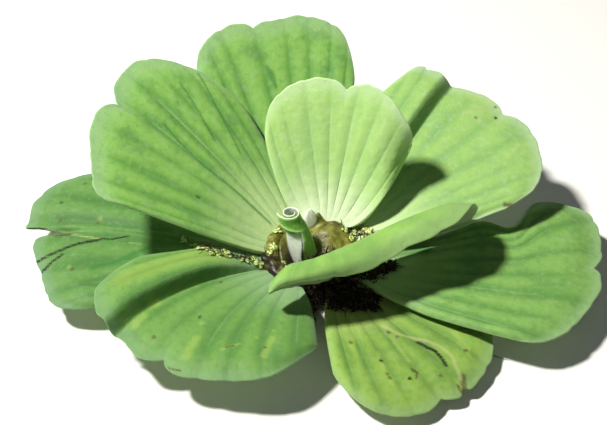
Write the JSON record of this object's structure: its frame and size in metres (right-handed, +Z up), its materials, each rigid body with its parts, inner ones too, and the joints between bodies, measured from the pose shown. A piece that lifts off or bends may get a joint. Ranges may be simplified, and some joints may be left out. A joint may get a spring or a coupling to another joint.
{
  "type": "water lettuce plant",
  "caption": "Floating water plant, lifted out: an open rosette of broad, ribbed, velvety leaves round a short crown with feathery roots beneath.",
  "frame": {"origin": "middle of the crown's flat underside, on the surface the plant rests on", "axes": "+Z up out of the rosette; +X to the right and +Y away from the viewer of the picture"},
  "size_m": [0.3241, 0.2506, 0.0953],
  "materials": {
    "leaf": "soft velvety mid green, matte, paler along the rim",
    "leaf_pale": "soft velvety pale yellow-green, matte",
    "crown": "wet olive brown, satin",
    "spathe": "white and hairy, matte",
    "root": "dark brown, feathery, matte"
  },
  "bodies": {
    "root": {"leaf_left": "leaf", "leaf_front_right": "leaf", "leaf_back": "leaf", "leaf_front_left": "leaf", "leaf_right": "leaf", "leaf_left_back": "leaf", "leaf_front": "leaf", "leaf_right_back": "leaf", "leaf_upright": "leaf_pale", "leaf_young": "leaf_pale", "crown": "crown", "spathe": "spathe", "root_01": "root", "root_02": "root", "root_03": "root", "root_04": "root", "root_05": "root", "root_06": "root", "root_07": "root", "root_08": "root", "root_09": "root", "root_10": "root", "root_11": "root", "root_12": "root", "root_13": "root", "root_14": "root"}
  },
  "joints": []
}
